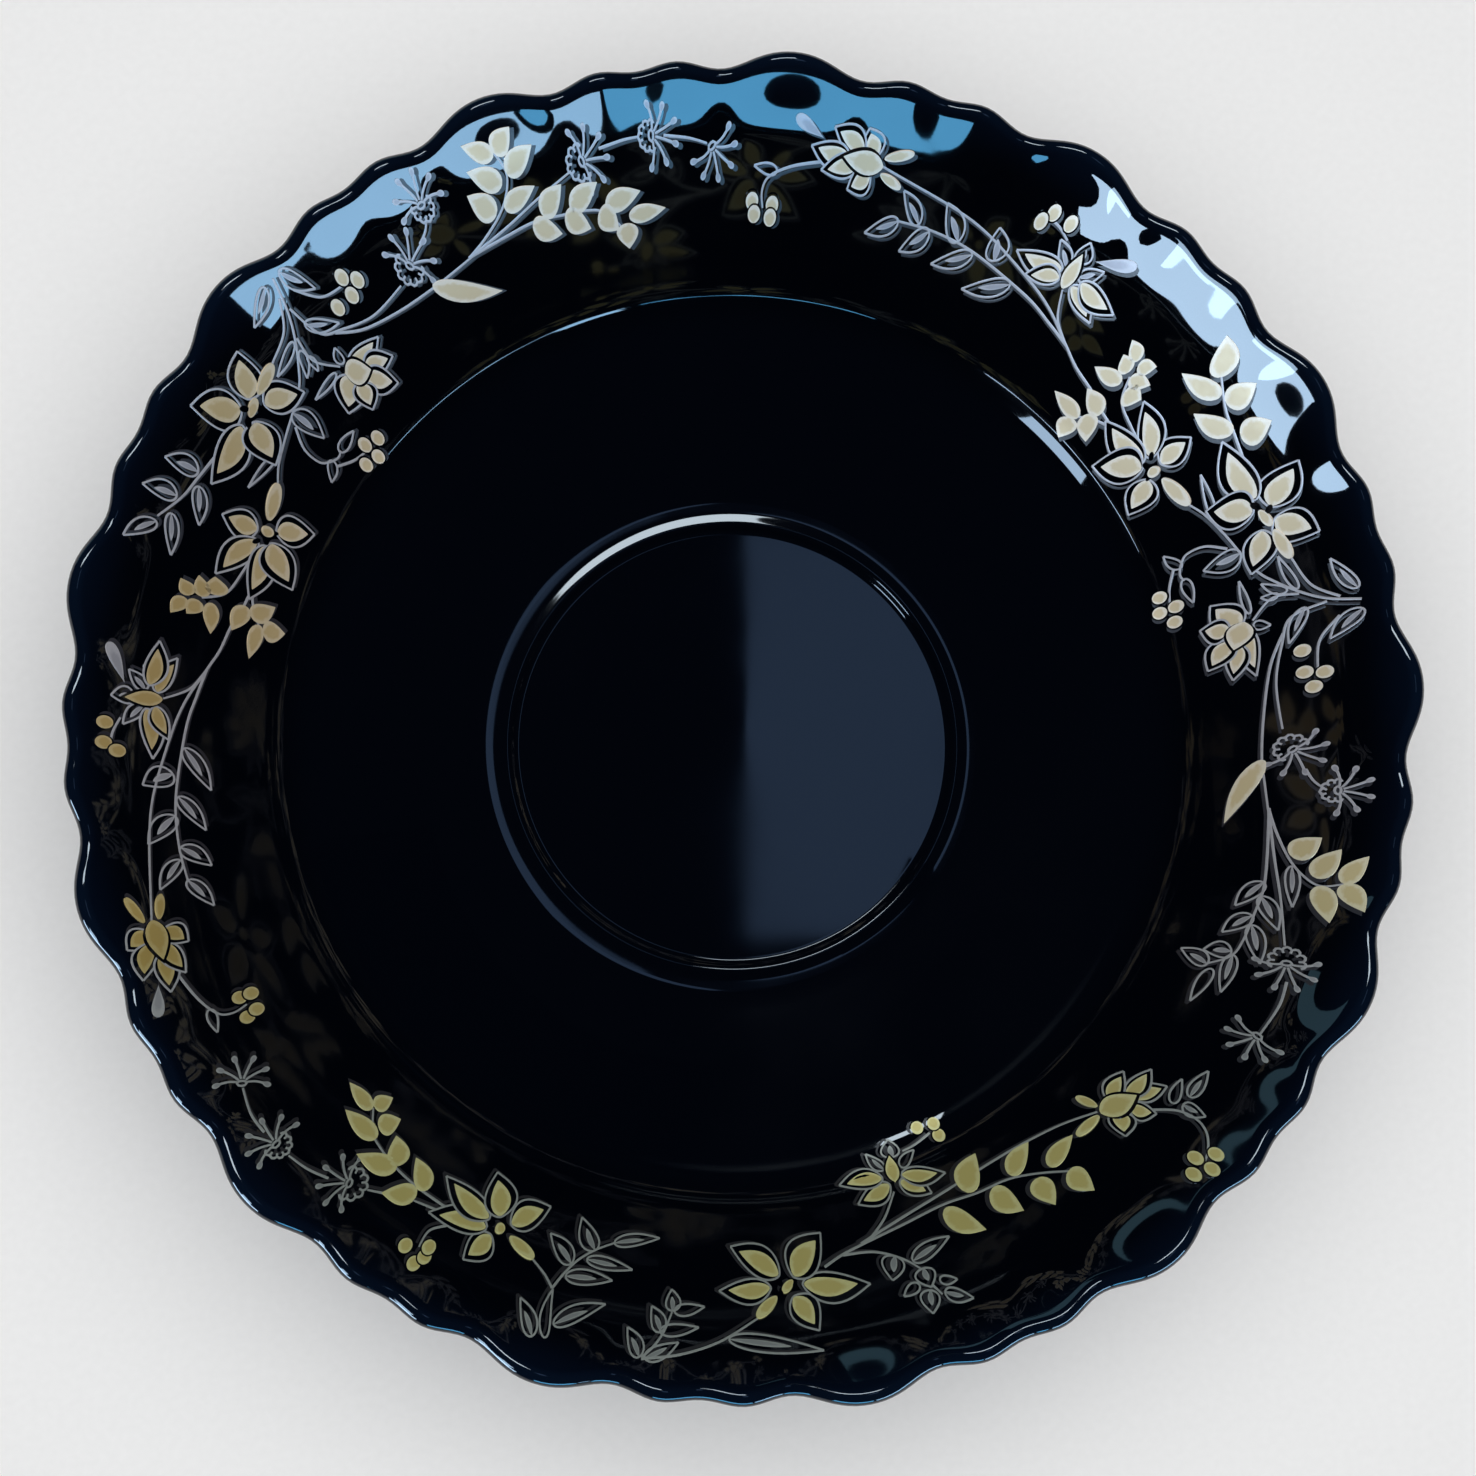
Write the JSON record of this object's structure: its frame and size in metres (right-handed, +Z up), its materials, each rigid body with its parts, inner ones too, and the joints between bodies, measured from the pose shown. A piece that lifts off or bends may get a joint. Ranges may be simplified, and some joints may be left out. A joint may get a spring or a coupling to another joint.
{
  "type": "decorated glass salad bowl",
  "caption": "Round dark glass bowl with a scalloped rim, a flat ringed well and gold and silver floral sprays fired on its inner wall.",
  "frame": {"origin": "centre of the foot ring, in the plane that the bowl stands on", "axes": "+Z up through the mouth of the bowl, +X through the root of the large spray on the right, +Y towards the gap between the two large sprays"},
  "size_m": [0.2425, 0.2424, 0.0578],
  "materials": {
    "dark_glass": "glossy pressed glass, blue-black in the mass",
    "fired_silver": "fired lustre print, satin",
    "fired_gold": "fired lustre print, satin"
  },
  "bodies": {
    "root": {"bowl": "dark_glass", "right_silver": "fired_silver", "right_gold": "fired_gold", "left_silver": "fired_silver", "left_gold": "fired_gold", "lower_left_silver": "fired_silver", "lower_left_gold": "fired_gold", "lower_right_silver": "fired_silver", "lower_right_gold": "fired_gold"}
  },
  "joints": []
}
